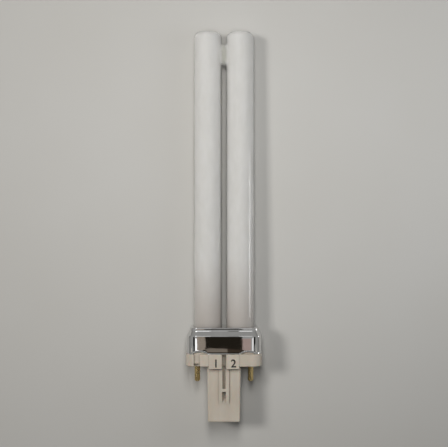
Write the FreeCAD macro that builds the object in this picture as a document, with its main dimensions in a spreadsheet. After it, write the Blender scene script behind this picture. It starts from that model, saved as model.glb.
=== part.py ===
import FreeCAD, Part
import math
import os

import Sketcher

# A two-pin fluorescent lamp: two parallel glass tubes joined by a short bridge near their tops,
# cemented into a moulded base with a drawn metal collar, two contact pins and a hollow post that
# holds the starter. Every piece is drawn standing up, with z = 0 on the seat plane (the pin side of
# the flange), +z towards the tubes and the front towards -y. Its placement then lays the lamp on its
# back: the tubes point along +Y, the front looks up, and Z = 0 is the face that it lies on.

doc = FreeCAD.newDocument("TwoPinLamp")

# Driving dimensions in millimetres, taper in degrees
driving_dimensions = [
    ("lamp_height", "143.1"),  # seat plane to the tops of the tubes
    ("post_length", "23.9"),  # seat plane to the end of the post
    ("tube_diameter", "11.8"),
    ("tube_gap", "2.1"),
    ("glass_wall", "0.9"),
    ("dome_corner", "2.5"),  # radius between a tube's side and its top
    ("dome_crown", "18.0"),  # radius of the shallow dome over the top
    ("bridge_drop", "10.0"),  # from the tops down to the middle of the bridge
    ("bridge_height", "8.4"),
    ("bridge_depth", "4.6"),
    ("bridge_flare", "0.9"),  # how far the bridge widens where it runs into a tube
    ("bridge_bore", "3.0"),
    ("tube_end", "10.4"),  # where a tube stops being round, above the seat plane
    ("pinch_length", "3.4"),
    ("pinch_width", "9.2"),
    ("pinch_thickness", "2.6"),
    ("pinch_foot", "1.8"),
    ("exhaust_diameter", "2.0"),
    ("exhaust_length", "1.6"),
    ("cement_side", "1.15"),  # least cement beside a tube, and in front of it
    ("cement_front", "0.7"),
    ("collar_corner", "3.9"),
    ("collar_wall", "0.35"),
    ("collar_height", "8.4"),  # flange to shoulder
    ("rim_height", "2.4"),  # shoulder to the top edge
    ("rim_inset", "1.6"),
    ("rim_round", "0.7"),
    ("shoulder_round", "0.9"),
    ("arch_inboard", "1.3"),  # how far each arch lies inside its pin
    ("arch_width", "6.3"),
    ("arch_height", "1.5"),
    ("tube_clearance", "0.1"),
    ("collar_clearance", "0.05"),
    ("flange_side_lip", "0.6"),  # how far the flange stands out past the collar
    ("flange_front_lip", "0.5"),
    ("flange_thickness", "5.2"),
    ("flange_edge", "0.3"),
    ("flange_floor", "1.6"),
    ("skirt_height", "7.6"),
    ("skirt_wall", "1.2"),
    ("chamber_height", "4.0"),
    ("chamber_depth", "10.0"),
    ("post_width", "14.3"),
    ("post_depth", "13.0"),
    ("post_corner", "0.8"),
    ("post_taper", "0.9"),
    ("post_end_wall", "1.6"),
    ("post_end_round", "0.6"),
    ("starter_bay_width", "11.3"),
    ("starter_bay_depth", "8.0"),
    ("number_pad_width", "12.9"),
    ("number_pad_drop", "0.85"),
    ("number_pad_proud", "0.25"),
    ("pad_slot_width", "1.9"),
    ("pad_slot_depth", "2.6"),
    ("rail_width", "4.3"),
    ("rail_proud", "0.55"),
    ("rail_length", "14.4"),
    ("rail_ramp", "2.6"),
    ("groove_width", "1.4"),
    ("groove_depth", "1.1"),
    ("latch_drop", "9.5"),  # seat plane to the latch bar
    ("latch_bar", "1.3"),
    ("window_width", "1.6"),
    ("window_length", "2.3"),
    ("window_ramp", "2.7"),
    ("window_depth", "1.6"),
    ("channel_width", "2.6"),
    ("channel_depth", "0.9"),
    ("channel_mouth", "1.3"),
    ("mouth_depth", "2.2"),
    ("pin_spacing", "23.0"),
    ("pin_diameter", "2.35"),
    ("pin_length", "7.4"),
    ("pin_tip_round", "0.8"),
    ("pin_tip_wall", "1.0"),
    ("pin_head_diameter", "3.8"),
    ("pin_head_height", "0.5"),
    ("pin_head_clearance", "0.6"),
    ("pin_seat_diameter", "3.0"),  # the thicker length held in the flange floor
    ("pin_bore", "0.7"),
    ("cement_height", "2.1"),
    ("lead_diameter", "0.5"),
    ("lead_spread", "3.4"),  # between the two leads of one tube
    ("lead_drop", "1.6"),
    ("starter_diameter", "6.2"),
    ("starter_length", "15.4"),
    ("starter_offset", "2.1"),
    ("starter_lift", "0.2"),
    ("starter_shoulder", "1.6"),
    ("starter_tip_diameter", "2.2"),
    ("starter_tip_length", "1.6"),
    ("stub_spread", "2.4"),
    ("stub_length", "2.0"),
    ("capacitor_width", "3.6"),
    ("capacitor_depth", "6.4"),
    ("capacitor_height", "8.0"),
    ("capacitor_corner", "0.8"),
    ("capacitor_offset", "3.3"),
    ("capacitor_leg", "2.1"),
]
dims = doc.addObject("Spreadsheet::Sheet", "dims")
for row, (alias, size) in enumerate(driving_dimensions, start=1):
    dims.set(f"A{row}", alias)
    dims.set(f"B{row}", size)
    dims.setAlias(f"B{row}", alias)
doc.recompute()

# Places that several pieces share, as expressions on the sheet
leg_centre = "(dims.tube_diameter + dims.tube_gap) / 2"
collar_foot = "dims.flange_thickness"
collar_shoulder = f"({collar_foot} + dims.collar_height)"
collar_top = f"({collar_shoulder} + dims.rim_height)"
skirt_top = "(dims.flange_thickness + dims.skirt_height)"

# The base is built outwards from what it holds: the tubes in their cement, or the pin heads
# where they need more room, then the skirt, the collar round it and the flange below
tubes_width = "(2 * dims.tube_diameter + dims.tube_gap + 2 * dims.cement_side)"
heads_width = "(dims.pin_spacing + dims.pin_head_diameter + 2 * dims.pin_head_clearance)"
well_width = f"max({tubes_width}; {heads_width})"
well_depth = "(dims.tube_diameter + 2 * dims.cement_front)"
skirt_width = f"({well_width} + 2 * dims.skirt_wall)"
skirt_depth = f"({well_depth} + 2 * dims.skirt_wall)"
collar_inset = "(dims.collar_wall + dims.collar_clearance)"
collar_width = f"({skirt_width} + 2 * {collar_inset})"
collar_depth = f"({skirt_depth} + 2 * {collar_inset})"
skirt_corner = f"(dims.collar_corner - {collar_inset})"
well_corner = f"({skirt_corner} - dims.skirt_wall)"
flange_width = f"({collar_width} + 2 * dims.flange_side_lip)"
flange_depth = f"({collar_depth} + 2 * dims.flange_front_lip)"
flange_corner = "(dims.collar_corner + dims.flange_front_lip)"
well_floor = "(dims.flange_floor + dims.chamber_height)"
pinch_bottom = "(dims.tube_end - dims.pinch_length - dims.pinch_foot)"
bay_floor = "(dims.post_end_wall - dims.post_length)"
rail_face = "(dims.post_depth / 2 + dims.rail_proud)"
pad_face = f"({flange_depth} / 2 + dims.number_pad_proud)"
window_top = "(dims.latch_drop + dims.latch_bar)"
starter_top = f"({bay_floor} + dims.starter_lift + dims.starter_length)"
stub_top = f"({starter_top} + dims.stub_length)"
pin_place = "dims.pin_spacing / 2"


def number(expression):
    return float(dims.evalExpression(expression))


def laid_down(piece):
    # turns the standing frame onto its back and sets it on the floor, centred along Y
    piece.Placement.Rotation = FreeCAD.Rotation(FreeCAD.Vector(1, 0, 0), -90)
    piece.setExpression("Placement.Base.y", "(dims.post_length - dims.lamp_height) / 2")
    piece.setExpression("Placement.Base.z", pad_face)


def new_body(name):
    body = doc.addObject("PartDesign::Body", name)
    body.Label = name
    laid_down(body)
    return body


def new_sketch(body, name, plane, lift="0", across="0"):
    # lift runs along the plane's normal: up for XY, to the front for XZ, to the right for YZ
    sketch = body.newObject("Sketcher::SketchObject", name)
    support = next(part for part in body.Origin.OriginFeatures if part.Role == plane)
    sketch.AttachmentSupport = (support, [""])
    sketch.MapMode = "FlatFace"
    sketch.setExpression("AttachmentOffset.Base.z", lift)
    sketch.setExpression("AttachmentOffset.Base.x", across)
    return sketch


def hold_size(sketch, constraint, expression):
    index = sketch.addConstraint(constraint)
    sketch.setExpression(f"Constraints[{index}]", expression)


def hold_point(sketch, edge, end, across, up):
    hold_size(sketch, Sketcher.Constraint("DistanceX", -1, 1, edge, end, number(across)), across)
    hold_size(sketch, Sketcher.Constraint("DistanceY", -1, 1, edge, end, number(up)), up)


def add_outline(sketch, corners, closed=True):
    # corners are (across, up), or (across, up, radius) where the run to the next corner is an arc,
    # with a minus before the radius where it turns clockwise
    up_axis = FreeCAD.Vector(0, 0, 1)
    places = [FreeCAD.Vector(number(corner[0]), number(corner[1]), 0) for corner in corners]
    runs = len(corners) if closed else len(corners) - 1
    tails = []
    heads = []
    for run in range(runs):
        start = places[run]
        finish = places[(run + 1) % len(corners)]
        if len(corners[run]) == 2:
            edge = sketch.addGeometry(Part.LineSegment(start, finish), False)
            tails.append((edge, 1))
            heads.append((edge, 2))
            continue
        clockwise = corners[run][2].startswith("-")
        radius_expression = corners[run][2].lstrip("-")
        radius = number(radius_expression)
        chord = finish - start
        reach = math.sqrt(max(radius * radius - chord.Length * chord.Length / 4, 0))
        side = up_axis.cross(chord).normalize() * (-reach if clockwise else reach)
        centre = (start + finish) * 0.5 + side
        first, last = (finish, start) if clockwise else (start, finish)
        from_angle = math.atan2(first.y - centre.y, first.x - centre.x)
        to_angle = math.atan2(last.y - centre.y, last.x - centre.x)
        if to_angle < from_angle:
            to_angle += 2 * math.pi
        arc = Part.ArcOfCircle(Part.Circle(centre, up_axis, radius), from_angle, to_angle)
        edge = sketch.addGeometry(arc, False)
        hold_size(sketch, Sketcher.Constraint("Radius", edge, radius), radius_expression)
        tails.append((edge, 2 if clockwise else 1))
        heads.append((edge, 1 if clockwise else 2))
    for run in range(runs if closed else runs - 1):
        following = tails[(run + 1) % runs]
        sketch.addConstraint(Sketcher.Constraint("Coincident", *heads[run], *following))
    for run in range(runs):
        hold_point(sketch, *tails[run], corners[run][0], corners[run][1])
    if not closed:
        hold_point(sketch, *heads[-1], corners[-1][0], corners[-1][1])


def add_circle(sketch, across, up, diameter):
    centre = FreeCAD.Vector(number(across), number(up), 0)
    circle = Part.Circle(centre, FreeCAD.Vector(0, 0, 1), number(diameter) / 2)
    edge = sketch.addGeometry(circle, False)
    hold_point(sketch, edge, 3, across, up)
    hold_size(sketch, Sketcher.Constraint("Diameter", edge, number(diameter)), diameter)


def add_ellipse(sketch, width, height):
    # centred on the sketch's origin, with the longer of its two sizes either way up
    half_width, half_height = number(width) / 2, number(height) / 2
    origin = FreeCAD.Vector(0, 0, 0)
    side = FreeCAD.Vector(half_width, 0, 0)
    top = FreeCAD.Vector(0, half_height, 0)
    major, minor = (side, top) if half_width > half_height else (top, side * -1)
    edge = sketch.addGeometry(Part.Ellipse(major, minor, origin), False)
    sketch.exposeInternalGeometry(edge)
    sketch.addConstraint(Sketcher.Constraint("Coincident", edge, 3, -1, 1))
    long_axis, short_axis = edge + 1, edge + 2
    sizes = (width, height) if half_width > half_height else (height, width)
    ways = ("Horizontal", "Vertical") if half_width > half_height else ("Vertical", "Horizontal")
    for line, size, way in zip((long_axis, short_axis), sizes, ways):
        hold_size(sketch, Sketcher.Constraint("Distance", line, number(size)), size)
    sketch.addConstraint(Sketcher.Constraint(ways[0], long_axis))


def rounded_box(width, depth, corner):
    x, y, r = f"({width}) / 2", f"({depth}) / 2", f"({corner})"
    return [
        (f"{r} - {x}", f"-{y}"),
        (f"{x} - {r}", f"-{y}", r),
        (x, f"{r} - {y}"),
        (x, f"{y} - {r}", r),
        (f"{x} - {r}", y),
        (f"{r} - {x}", y, r),
        (f"-{x}", f"{y} - {r}"),
        (f"-{x}", f"{r} - {y}", r),
    ]


def plain_box(left, right, low, high):
    return [(left, low), (right, low), (right, high), (left, high)]


def add_feature(body, kind, name, sketch, length, downwards=False, centred=False, taper=None):
    before = body.Shape.Volume if body.Tip else 0
    feature = body.newObject("PartDesign::" + kind, name)
    feature.Profile = sketch
    feature.setExpression("Length", length)
    feature.Reversed = downwards
    feature.Midplane = centred
    if taper:
        feature.setExpression("TaperAngle", taper)
    doc.recompute()
    if (body.Shape.Volume - before) * (-1 if kind == "Pocket" else 1) <= 0:
        raise ValueError(f"{body.Label}: {name} points away from its piece")
    return feature


def add_turned(body, kind, name, sketch):
    feature = body.newObject("PartDesign::" + kind, name)
    feature.Profile = sketch
    feature.ReferenceAxis = (sketch, ["V_Axis"])
    feature.Angle = 360
    doc.recompute()
    return feature


def dress_edges(body, kind, name, size, wanted):
    base = body.Tip
    edges = [f"Edge{i}" for i, edge in enumerate(base.Shape.Edges, start=1) if wanted(edge)]
    feature = body.newObject("PartDesign::" + kind, name)
    feature.Base = (base, edges)
    feature.setExpression("Radius" if kind == "Fillet" else "Size", size)
    doc.recompute()
    return feature


def level_at(height):
    # picks the edges that lie flat at one height
    def wanted(edge):
        box = edge.BoundBox
        return abs(box.ZMin - height) < 1e-4 and abs(box.ZMax - height) < 1e-4

    return wanted


def tube_profile(inset, foot, corner):
    # half section of a tube from its centre line: flat foot, straight side, domed top; the
    # corner arc and the crown arc are tangent, and the bore's cone stands in for its corner arc
    crown = f"(dims.dome_crown - {inset})"
    top = f"(dims.lamp_height - {inset})"
    spread = "(dims.tube_diameter / 2 - dims.dome_corner)"
    reach = "(dims.dome_crown - dims.dome_corner)"
    rise = f"sqrt({reach}^2 - {spread}^2)"
    crown_centre = "(dims.lamp_height - dims.dome_crown)"
    side = f"(dims.tube_diameter / 2 - {inset})"
    return [
        ("0", foot),
        (side, foot),
        (side, f"{crown_centre} + {rise}", *corner),
        (f"{spread} * {crown} / {reach}", f"{crown_centre} + {rise} * {crown} / {reach}", crown),
        ("0", top),
    ]


def add_bridge(body):
    # a short neck that flares into both tubes, from three ellipses across the gap
    bridge_centre = "dims.lamp_height - dims.bridge_drop"
    wide = "dims.bridge_flare * 2"
    sections = []
    for place, sign, growth in (("Left", "-", wide), ("Middle", "0 *", "0"), ("Right", "", wide)):
        sketch = new_sketch(body, "Bridge" + place, "YZ_Plane", f"{sign} (dims.tube_gap / 2 + 0.9)")
        sketch.setExpression("AttachmentOffset.Base.y", bridge_centre)
        add_ellipse(sketch, f"dims.bridge_depth + {growth}", f"dims.bridge_height + {growth}")
        sections.append(sketch)
    neck = body.newObject("PartDesign::AdditiveLoft", "BridgeNeck")
    neck.Profile = sections[0]
    neck.Sections = sections[1:]
    doc.recompute()


def make_glass_tube():
    body = new_body("glass_tube")
    for side, sign in (("Left", "-"), ("Right", "")):
        across = sign + leg_centre
        leg = new_sketch(body, side + "LegProfile", "XZ_Plane", across=across)
        add_outline(leg, tube_profile("0", "dims.tube_end", ["dims.dome_corner"]))
        add_turned(body, "Revolution", side + "Leg", leg)

        flat = rounded_box("dims.pinch_width", "dims.pinch_thickness", "dims.pinch_thickness * 0.35")
        foot = new_sketch(body, side + "FootOutline", "XY_Plane", pinch_bottom, across)
        add_outline(foot, flat)
        add_feature(body, "Pad", side + "Foot", foot, "dims.pinch_foot")
        shoulder = new_sketch(body, side + "PinchStart", "XY_Plane", "dims.tube_end", across)
        add_circle(shoulder, "0", "0", "dims.tube_diameter")
        neck_height = "dims.tube_end - dims.pinch_length"
        neck = new_sketch(body, side + "PinchNeck", "XY_Plane", neck_height, across)
        add_outline(neck, flat)
        pinch = body.newObject("PartDesign::AdditiveLoft", side + "Pinch")
        pinch.Profile = shoulder
        pinch.Sections = [neck]
        doc.recompute()
    add_bridge(body)

    tip = new_sketch(body, "ExhaustOutline", "XY_Plane", pinch_bottom, leg_centre)
    add_circle(tip, "0", "0", "dims.exhaust_diameter")
    add_feature(body, "Pad", "ExhaustTip", tip, "dims.exhaust_length", downwards=True)

    for side, sign in (("Left", "-"), ("Right", "")):
        bore = new_sketch(body, side + "BoreProfile", "XZ_Plane", across=sign + leg_centre)
        add_outline(bore, tube_profile("dims.glass_wall", "dims.tube_end + dims.glass_wall", []))
        add_turned(body, "Groove", side + "Bore", bore)
    passage = new_sketch(body, "PassageOutline", "YZ_Plane")
    add_circle(passage, "0", "dims.lamp_height - dims.bridge_drop", "dims.bridge_bore")
    add_feature(body, "Pocket", "Passage", passage, f"2 * {leg_centre}", centred=True)
    return body


def make_metal_collar():
    # drawn from sheet: an oblong cup with a stepped shoulder, its floor pierced for the tubes
    body = new_body("metal_collar")
    steps = []
    for name, inset, foot, height in (
        ("Wall", "0", collar_foot, "dims.collar_height"),
        ("Rim", "dims.rim_inset", collar_shoulder, "dims.rim_height"),
    ):
        sketch = new_sketch(body, name + "Outline", "XY_Plane", foot)
        add_outline(sketch, rounded_box(f"{collar_width} - 2 * {inset}",
                                        f"{collar_depth} - 2 * {inset}",
                                        f"dims.collar_corner - {inset}"))
        add_feature(body, "Pad", name, sketch, height)
        steps.append((name, inset, foot, height))
    rim_half = number(f"{collar_width} / 2 - dims.rim_inset")

    def outside_rim(edge):
        return max(edge.BoundBox.XMax, -edge.BoundBox.XMin, 0) > rim_half + 1e-4 or \
            max(edge.BoundBox.YMax, -edge.BoundBox.YMin, 0) > \
            number(f"{collar_depth} / 2 - dims.rim_inset") + 1e-4

    at_shoulder = level_at(number(collar_shoulder))
    dress_edges(body, "Fillet", "ShoulderRound", "dims.shoulder_round",
                lambda edge: at_shoulder(edge) and outside_rim(edge))
    dress_edges(body, "Fillet", "RimRound", "dims.rim_round", level_at(number(collar_top)))

    # the inside of each step is one wall in, with a bevel where the outside is round
    for name, inset, foot, height in steps:
        wall = f"({inset} + dims.collar_wall)"
        top = f"({foot} + {height} - dims.collar_wall)"
        cavity = new_sketch(body, name + "Cavity", "XY_Plane", top)
        add_outline(cavity, rounded_box(f"{collar_width} - 2 * {wall}",
                                        f"{collar_depth} - 2 * {wall}",
                                        f"dims.collar_corner - {wall}"))
        add_feature(body, "Pocket", name + "Inside", cavity, f"{top} - {collar_foot}")
        dress_edges(body, "Chamfer", name + "InsideBevel", "dims.collar_wall",
                    level_at(number(top)))

    holes = new_sketch(body, "TubeHoles", "XY_Plane", collar_top)
    for sign in ("-", ""):
        add_circle(holes, sign + leg_centre, "0", "dims.tube_diameter + 2 * dims.tube_clearance")
    add_feature(body, "Pocket", "TubeOpenings", holes, "3 * dims.collar_wall")

    # arches in the foot keep the metal clear of the contacts
    arches = new_sketch(body, "ArchOutline", "XZ_Plane")
    rise = "dims.arch_height"
    span = "dims.arch_width"
    bend = f"(({span})^2 / 4 + ({rise})^2) / (2 * {rise})"
    for sign in ("-", ""):
        centre = f"{sign}({pin_place} - dims.arch_inboard)"
        add_outline(arches, [
            (f"{centre} - {span} / 2", f"{collar_foot} - 0.5"),
            (f"{centre} + {span} / 2", f"{collar_foot} - 0.5"),
            (f"{centre} + {span} / 2", collar_foot, bend),
            (f"{centre} - {span} / 2", collar_foot),
        ])
    add_feature(body, "Pocket", "Arches", arches, f"2 * {collar_depth}", centred=True)
    return body


def add_latch(body):
    # a ramped rail down the post, split by a groove that a bar closes above the latch window
    rail = new_sketch(body, "RailProfile", "YZ_Plane")
    add_outline(rail, [
        ("-dims.starter_bay_depth / 2 - 0.4", "0.5"),
        (f"-{rail_face}", "0.5"),
        (f"-{rail_face}", "-dims.rail_length"),
        ("0.35 - dims.post_depth / 2", "-dims.rail_length - dims.rail_ramp"),
        ("-dims.starter_bay_depth / 2 - 0.4", "-dims.rail_length - dims.rail_ramp"),
    ])
    features = [add_feature(body, "Pad", "Rail", rail, "dims.rail_width", centred=True)]

    number_pad = new_sketch(body, "NumberPadOutline", "XZ_Plane", pad_face)
    half = "dims.number_pad_width / 2"
    add_outline(number_pad, plain_box(f"-{half}", half, "-dims.number_pad_drop",
                                      "dims.flange_thickness"))
    features.append(add_feature(body, "Pad", "NumberPad", number_pad,
                                f"{pad_face} - dims.post_depth / 2 + 0.4", downwards=True))

    slot = new_sketch(body, "PadSlotOutline", "XZ_Plane", pad_face)
    half = "dims.pad_slot_width / 2"
    add_outline(slot, plain_box(f"-{half}", half, "-dims.number_pad_drop - 0.5",
                                "dims.flange_thickness"))
    features.append(add_feature(body, "Pocket", "PadSlot", slot, "dims.pad_slot_depth"))

    groove = new_sketch(body, "GrooveOutline", "XZ_Plane", rail_face)
    half = "dims.groove_width / 2"
    add_outline(groove, plain_box(f"-{half}", half, "-dims.latch_drop", "0"))
    features.append(add_feature(body, "Pocket", "Groove", groove,
                                "dims.rail_proud + dims.groove_depth"))

    window = new_sketch(body, "WindowProfile", "YZ_Plane")
    depth = "(dims.post_depth / 2 - dims.window_depth)"
    add_outline(window, [
        (f"-{rail_face} - 0.5", f"-{window_top}"),
        (f"-{depth}", f"-{window_top}"),
        (f"-{depth}", f"-{window_top} - dims.window_length"),
        (f"-{rail_face}", f"-{window_top} - dims.window_length - dims.window_ramp"),
        (f"-{rail_face} - 0.5", f"-{window_top} - dims.window_length - dims.window_ramp"),
    ])
    features.append(add_feature(body, "Pocket", "Window", window, "dims.window_width",
                                centred=True))
    return features


def add_pin_channel(body):
    # a shallow channel down the flange in front of one pin, deeper at its mouth
    features = []
    face = f"{flange_depth} / 2"
    left = f"-({pin_place}) - dims.channel_width / 2"
    right = f"dims.channel_width / 2 - {pin_place}"
    for name, top, depth in (
        ("PinChannel", "dims.flange_thickness", "dims.channel_depth"),
        ("ChannelMouth", "dims.channel_mouth", "dims.mouth_depth"),
    ):
        sketch = new_sketch(body, name + "Outline", "XZ_Plane", face)
        add_outline(sketch, plain_box(left, right, "0", top))
        features.append(add_feature(body, "Pocket", name, sketch, depth))
    return features


def make_base_housing():
    body = new_body("base_housing")
    flange = new_sketch(body, "FlangeOutline", "XY_Plane")
    add_outline(flange, rounded_box(flange_width, flange_depth, flange_corner))
    add_feature(body, "Pad", "Flange", flange, "dims.flange_thickness")
    for name, height in (("FlangeFootEdge", "0"), ("FlangeTopEdge", "dims.flange_thickness")):
        dress_edges(body, "Chamfer", name, "dims.flange_edge", level_at(number(height)))

    post = new_sketch(body, "PostOutline", "XY_Plane")
    add_outline(post, rounded_box("dims.post_width", "dims.post_depth", "dims.post_corner"))
    add_feature(body, "Pad", "Post", post, "dims.post_length", downwards=True,
                taper="-dims.post_taper")
    dress_edges(body, "Fillet", "PostEndRound", "dims.post_end_round",
                level_at(-number("dims.post_length")))

    skirt = new_sketch(body, "SkirtOutline", "XY_Plane", "dims.flange_thickness")
    add_outline(skirt, rounded_box(skirt_width, skirt_depth, skirt_corner))
    add_feature(body, "Pad", "Skirt", skirt, "dims.skirt_height")

    # the two sides of the lamp are the same after half a turn
    both_sides = add_latch(body) + add_pin_channel(body)
    turned = body.newObject("PartDesign::PolarPattern", "OtherSide")
    turned.Originals = both_sides
    axis = next(part for part in body.Origin.OriginFeatures if part.Role == "Z_Axis")
    turned.Axis = (axis, [""])
    turned.Angle = 360
    turned.Occurrences = 2
    body.Tip = turned
    doc.recompute()

    well = new_sketch(body, "WellOutline", "XY_Plane", skirt_top)
    add_outline(well, rounded_box(well_width, well_depth, well_corner))
    add_feature(body, "Pocket", "TubeWell", well, f"{skirt_top} - {well_floor}")
    chamber = new_sketch(body, "ChamberOutline", "XY_Plane", well_floor)
    add_outline(chamber, rounded_box(well_width, "dims.chamber_depth", well_corner))
    add_feature(body, "Pocket", "LeadChamber", chamber, "dims.chamber_height")
    bay = new_sketch(body, "BayOutline", "XY_Plane", "dims.flange_floor")
    add_outline(bay, rounded_box("dims.starter_bay_width", "dims.starter_bay_depth", "0.8"))
    add_feature(body, "Pocket", "StarterBay", bay, f"dims.flange_floor - {bay_floor}",
                taper="-dims.post_taper")
    pin_holes = new_sketch(body, "PinHoles", "XY_Plane", "dims.flange_floor")
    for sign in ("-", ""):
        add_circle(pin_holes, sign + pin_place, "0", "dims.pin_seat_diameter")
    add_feature(body, "Pocket", "PinSeats", pin_holes, "2 * dims.flange_floor")
    return body


def make_contact_pin(side, sign):
    # a turned tubular pin: headed over inside the base, with a bore for the lead
    body = new_body("contact_pin_" + side)
    profile = new_sketch(body, "PinProfile", "XZ_Plane", across=sign + pin_place)
    radius, tip = "dims.pin_diameter / 2", "-dims.pin_length"
    head_top = "(dims.flange_floor + dims.pin_head_height)"
    bore_end = "dims.pin_tip_wall - dims.pin_length"
    add_outline(profile, [
        ("0", tip),
        (f"{radius} - dims.pin_tip_round", tip, "dims.pin_tip_round"),
        (radius, f"{tip} + dims.pin_tip_round"),
        (radius, "0"),
        ("dims.pin_seat_diameter / 2", "0"),
        ("dims.pin_seat_diameter / 2", "dims.flange_floor"),
        ("dims.pin_head_diameter / 2", "dims.flange_floor"),
        ("dims.pin_head_diameter / 2", head_top),
        ("dims.pin_bore / 2", head_top),
        ("dims.pin_bore / 2", bore_end),
        ("0", bore_end),
    ])
    add_turned(body, "Revolution", "Pin", profile)
    return body


def make_tube_cement():
    # the cement that fills the well round both tubes
    body = new_body("tube_cement")
    outline = new_sketch(body, "CementOutline", "XY_Plane", skirt_top)
    add_outline(outline, rounded_box(well_width, well_depth, well_corner))
    for sign in ("-", ""):
        add_circle(outline, sign + leg_centre, "0", "dims.tube_diameter")
    add_feature(body, "Pad", "Cement", outline, "dims.cement_height", downwards=True)
    return body


def make_glow_starter():
    # a small glass bottle, tip down in the post, with two wire stubs out of its top
    body = new_body("glow_starter")
    profile = new_sketch(body, "BottleProfile", "XZ_Plane", across="-dims.starter_offset")
    bottom = f"({bay_floor} + dims.starter_lift)"
    radius, tip = "dims.starter_diameter / 2", "dims.starter_tip_diameter / 2"
    belly = f"({bottom} + dims.starter_tip_length + dims.starter_shoulder)"
    add_outline(profile, [
        ("0", bottom),
        (tip, f"{bottom} + dims.starter_tip_length"),
        (f"{radius} - dims.starter_shoulder", f"{bottom} + dims.starter_tip_length"),
        (radius, belly),
        (radius, f"{starter_top} - dims.starter_shoulder"),
        (f"{radius} - dims.starter_shoulder", starter_top),
        ("0", starter_top),
    ])
    add_turned(body, "Revolution", "Bottle", profile)
    stubs = new_sketch(body, "StubOutline", "XY_Plane", starter_top)
    for sign in ("-", ""):
        add_circle(stubs, "-dims.starter_offset", f"{sign}dims.stub_spread / 2",
                   "dims.lead_diameter")
    add_feature(body, "Pad", "Stubs", stubs, "dims.stub_length")
    return body


def make_starter_capacitor():
    # a flat dipped box beside the starter, its two legs bent over to the starter's stubs
    body = new_body("starter_capacitor")
    outline = new_sketch(body, "BoxOutline", "XY_Plane", starter_top, "dims.capacitor_offset")
    add_outline(outline, rounded_box("dims.capacitor_width", "dims.capacitor_depth",
                                     "dims.capacitor_corner"))
    add_feature(body, "Pad", "Box", outline, "dims.capacitor_height", downwards=True)
    crossing = f"({starter_top} + dims.capacitor_leg)"
    for side, sign in (("Front", ""), ("Back", "-")):
        spine = new_sketch(body, side + "LegPath", "XZ_Plane", f"{sign}dims.stub_spread / 2")
        add_outline(spine, [
            ("dims.capacitor_offset", f"{starter_top} - 0.6"),
            ("dims.capacitor_offset", crossing),
            ("dims.lead_diameter / 2 - dims.starter_offset", crossing),
        ], closed=False)
        section = new_sketch(body, side + "LegSection", "XY_Plane", f"{starter_top} - 0.6",
                             "dims.capacitor_offset")
        add_circle(section, "0", f"{'-' if sign == '' else ''}dims.stub_spread / 2",
                   "dims.lead_diameter")
        leg = body.newObject("PartDesign::AdditivePipe", side + "Leg")
        leg.Profile = section
        leg.Spine = (spine, [])
        leg.Transition = "Right corner"
        doc.recompute()
    return body


def make_lead(name, route):
    # a stiff wire in straight runs, mitred where it turns
    radius = number("dims.lead_diameter") / 2
    section = Part.Wire([Part.Circle(route[0], route[1] - route[0], radius).toShape()])
    lead = doc.addObject("Part::Feature", name)
    lead.Shape = Part.makePolygon(route).makePipeShell([section], True, True, 1)
    lead.Label = name
    laid_down(lead)
    return lead


def make_leads():
    # each tube gives one lead to its pin and one to the starter
    point = FreeCAD.Vector
    leg, spread = number(leg_centre), number("dims.lead_spread") / 2
    start = number(pinch_bottom)
    turn_height = start - number("dims.lead_drop")
    pin = number(pin_place)
    pin_end = number("dims.pin_tip_wall + 0.4 - dims.pin_length")
    stub_x, stub_y = -number("dims.starter_offset"), number("dims.stub_spread") / 2
    stub_end = number(stub_top)
    stub_turn = turn_height - number("dims.lead_drop") * 0.75
    leads = []
    for side, sign in (("left", -1), ("right", 1)):
        outer, inner = sign * (leg + spread), sign * (leg - spread)
        leads.append(make_lead(side + "_pin_lead", [
            point(outer, 0, start),
            point(outer, 0, turn_height),
            point(sign * pin, 0, turn_height),
            point(sign * pin, 0, pin_end),
        ]))
        leads.append(make_lead(side + "_starter_lead", [
            point(inner, 0, start),
            point(inner, 0, turn_height),
            point(stub_x, sign * stub_y, stub_turn),
            point(stub_x, sign * stub_y, stub_end),
        ]))
    return leads


pieces = [
    make_glass_tube(),
    make_tube_cement(),
    make_metal_collar(),
    make_base_housing(),
    make_contact_pin("left", "-"),
    make_contact_pin("right", ""),
    make_glow_starter(),
    make_starter_capacitor(),
] + make_leads()
doc.recompute()

failed = [part.Name for part in doc.Objects if {"Invalid", "Error"} & set(part.State)]
for piece in pieces:
    shape = piece.Shape
    if shape.isNull() or not shape.isValid() or len(shape.Solids) != 1:
        failed.append(piece.Label)
if failed:
    raise ValueError("These did not build: " + ", ".join(failed))

os.makedirs("parts", exist_ok=True)
for piece in pieces:
    piece.Shape.exportStep(f"parts/{piece.Label}.step")
    box = piece.Shape.BoundBox
    print(f"{piece.Label}: {piece.Shape.Volume:.1f} mm3, x {box.XMin:.2f} {box.XMax:.2f}, "
          f"y {box.YMin:.2f} {box.YMax:.2f}, z {box.ZMin:.2f} {box.ZMax:.2f}")
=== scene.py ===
import math

import bmesh
import bpy
from mathutils import Matrix, Vector


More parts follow.
